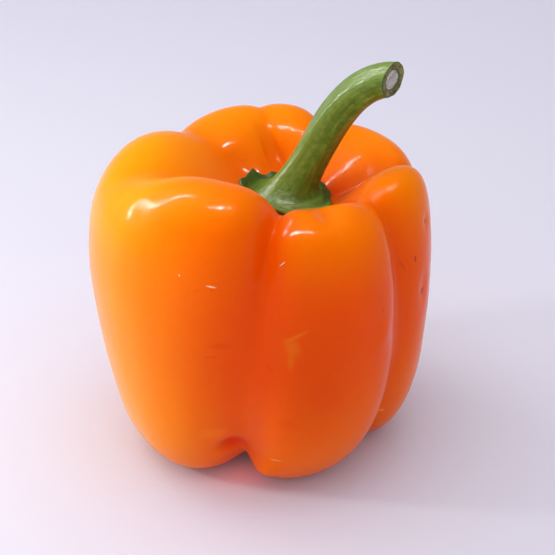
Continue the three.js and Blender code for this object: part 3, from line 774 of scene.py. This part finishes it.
def stem_grid():
    """Rings along the path: point = centre + radius * spoke, slid along the path so that each ring
    lies level at the foot, square in the middle and in the cut's plane at the tip. The radius has
    the flare, soft ribs and fine ridges, and the cut's rows run inwards over the rim to the pith."""
    foot = np.linspace(0, 1, FOOT_ROWS, endpoint=False)
    cut = np.linspace(1, 0, CUT_ROWS + 1)[1:]
    along = np.concatenate([np.zeros(FOOT_ROWS), np.linspace(0, 1, STEM_ROWS), np.ones(CUT_ROWS)])
    size = np.concatenate([foot, np.ones(STEM_ROWS), cut])[:, None]
    on_cut = np.concatenate([np.zeros(FOOT_ROWS + STEM_ROWS), np.ones(CUT_ROWS)])[:, None]
    azimuth = np.linspace(0, 2 * np.pi, STEM_COLUMNS, endpoint=False)
    centre, tangent = bezier(along)
    length = np.linalg.norm(np.diff(bezier(np.linspace(0, 1, 200))[0], axis=0), axis=1).sum()
    front = np.array((0, -1.0, 0))
    across = unit(front - tangent * (tangent @ front)[:, None])
    beside = np.cross(tangent, across)
    flare = STEM_FLARE * np.exp(-along * length / STEM_FLARE_LENGTH)
    skirt = STEM_SKIRT * np.exp(-along * length / STEM_SKIRT_LENGTH)
    leftward = STEM_FLARE_MEAN - STEM_FLARE_LEFT * np.sin(azimuth) + STEM_FLARE_FRONT * np.cos(azimuth)
    flare = flare[:, None] * leftward + skirt[:, None]
    turn = azimuth - STEM_RIB_TURN * along[:, None]
    radius = (STEM_RADIUS + (STEM_TIP_RADIUS - STEM_RADIUS) * along)[:, None] + flare
    radius = radius + STEM_RIB_HEIGHT * np.cos(STEM_RIBS * turn) * (1 - STEM_RIB_FADE * along[:, None] ** 3)
    ridges = STEM_RIDGE * np.cos(13 * turn + 1.5 * np.sin(9 * along[:, None]))
    ridges = ridges + STEM_FINE_RIDGE * np.cos(29 * turn + 1)
    around = np.stack(np.broadcast_arrays(3 * np.cos(turn), 3 * np.sin(turn), 9 * along[:, None]), -1)
    ridges = ridges + STEM_BUMP * lumps(around, 1.3, 21)
    radius = (radius + ridges) * size
    spoke = across[:, None] * np.cos(azimuth)[:, None] + beside[:, None] * np.sin(azimuth)[:, None]
    spoke = spoke * radius[..., None]
    level = smooth(along, 0, STEM_LEVEL_UNTIL)[:, None]
    slant = smooth(along, CUT_LEAN_START, 1)[:, None]
    plane = tangent * level + np.array((0, 0, 1.0)) * (1 - level)
    plane = unit(plane * (1 - slant) + CUT_NORMAL * slant)
    slide = -np.einsum("rcx,rx->rc", spoke, plane) / np.einsum("rx,rx->r", tangent, plane)[:, None]
    rim = -CUT_RIM_HEIGHT * (1 - smooth(size, 0.9, 1.0)) * (1 - smooth(-size, -0.86, -0.72))
    hollow = PITH_DEPTH * smooth(-size, -PITH_RADIUS - 0.08, -PITH_RADIUS + 0.04)
    apart = spoke + CUT_ROUGH_FROM
    rough = sum(height * lumps(apart, spacing, seed) for height, spacing, seed in CUT_ROUGH)
    slide = slide - on_cut * (hollow + rim + rough * smooth(-size, -1.0, -0.9))
    points = centre[:, None] + spoke + tangent[:, None] * slide[..., None]
    column = np.linspace(0, 1, STEM_COLUMNS + 1)
    uv = np.stack(np.broadcast_arrays(column[None], along[:, None]), -1)
    inside = np.broadcast_to(on_cut * (1 - size), radius.shape)
    foot_share = np.broadcast_to(np.exp(-along * length / STEM_FOOT_REACH)[:, None], radius.shape)
    return points, uv, inside, foot_share


def stem_material():
    """Green stalk: pale streaks and dots, lighter on the left and dark olive on the right as painted light
    and shade, glossy except at its foot, with a dry cut: dark rim, speckled flesh, a dark ring and pale
    pith."""
    material, tree, bsdf = finish_shader(
        "ribbed_stalk", Specular_IOR_Level=0.25, Subsurface_Weight=0.1, Subsurface_Scale=0.002,
        Subsurface_Radius=(0.5, 1.0, 0.2), Coat_Roughness=0.14, Coat_IOR=1.35)
    spot = put(tree, "ShaderNodeTexCoord").outputs["Object"]
    way = put(tree, "ShaderNodeUVMap", {"uv_map": "UVMap"}).outputs["UV"]
    inside = put(tree, "ShaderNodeAttribute", {"attribute_name": "inside"}).outputs["Fac"]
    foot = put(tree, "ShaderNodeAttribute", {"attribute_name": "foot"}).outputs["Fac"]
    long_way = put(tree, "ShaderNodeMapping", Vector=way, Scale=(22.0, 2.6, 1.0)).outputs["Vector"]
    streaks = placed(tree, MOTTLE, "Share", Vector=long_way, Scale=1.0, Contrast=3.0)
    clouds = placed(tree, MOTTLE, "Share", Vector=spot, Scale=180.0, Contrast=2.0)
    dots = placed(tree, PORES, "Dots", Vector=spot, Scale=750.0, Size=0.22, Share=0.35)
    speckle = placed(tree, MOTTLE, "Share", Vector=spot, Scale=620.0, Contrast=3.0)
    green = tint(tree, streaks, (0.085, 0.160, 0.006, 1), (0.200, 0.310, 0.050, 1))
    patched = tint(tree, math(tree, "MULTIPLY", clouds, 0.40), green, (0.095, 0.185, 0.010, 1))
    stalk_green = tint(tree, math(tree, "MULTIPLY", speckle, 0.70), patched, (0.050, 0.105, 0.004, 1))
    # Painted light: the left side of the stalk lighter green.
    round_way = put(tree, "ShaderNodeSeparateXYZ", Vector=way).outputs["X"]
    off_left = math(tree, "ABSOLUTE", math(tree, "SUBTRACT", round_way, 0.78))
    stalk_green = tint(tree, remap(tree, off_left, 0.22, 0.05, 0.0, 0.45), stalk_green, (0.220, 0.320, 0.055, 1))
    # Painted shade: the right side of the stalk dark olive.
    off_right = math(tree, "ABSOLUTE", math(tree, "SUBTRACT", round_way, 0.29))
    shaded = tint(tree, remap(tree, off_right, 0.24, 0.05, 0.0, 0.80), stalk_green, (0.050, 0.066, 0.004, 1))
    based = tint(tree, math(tree, "MULTIPLY", foot, 0.5), shaded, (0.085, 0.160, 0.008, 1))
    dotted = tint(tree, math(tree, "MULTIPLY", dots, 0.4), based, (0.30, 0.42, 0.15, 1))
    rim = tint(tree, remap(tree, inside, 0.0, 0.02), dotted, (0.075, 0.080, 0.020, 1))
    flesh = tint(tree, speckle, (0.065, 0.060, 0.014, 1), (0.25, 0.23, 0.07, 1))
    cortex = tint(tree, remap(tree, inside, 0.03, 0.09), rim, flesh)
    ring = tint(tree, remap(tree, inside, 0.36, 0.41), cortex, (0.085, 0.080, 0.035, 1))
    pale = tint(tree, speckle, (0.33, 0.30, 0.26, 1), (0.62, 0.57, 0.53, 1))
    pith = tint(tree, remap(tree, inside, 0.43, 0.49), ring, pale)
    tree.links.new(pith, bsdf.inputs["Base Color"])
    gloss = remap(tree, streaks, 0, 1, 0.42, 0.30)
    tree.links.new(remap(tree, foot, 0.10, 0.45, 0.3, 0.0), bsdf.inputs["Coat Weight"])
    dry = remap(tree, inside, 0.0, 0.05)
    rough = math(tree, "MAXIMUM", gloss, math(tree, "MULTIPLY", dry, 0.85))
    tree.links.new(rough, bsdf.inputs["Roughness"])
    relief = put(tree, "ShaderNodeTexNoise", Vector=spot, Scale=900.0, Detail=3.0).outputs["Fac"]
    bump = put(tree, "ShaderNodeBump", Height=relief, Strength=0.6)
    bump.inputs["Distance"].default_value = 0.0004
    tree.links.new(bump.outputs["Normal"], bsdf.inputs["Coat Normal"])
    tree.links.new(bump.outputs["Normal"], bsdf.inputs["Normal"])
    return material


stem_points, stem_uv, stem_inside, stem_foot = stem_grid()
stem = closed_piece("stem_stalk", stem_points, stem_uv, {"inside": stem_inside, "foot": stem_foot})
stem.data.materials.append(stem_material())
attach(stem, "root")
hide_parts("stem")


# The scene brought up to date.
bpy.context.view_layer.update()
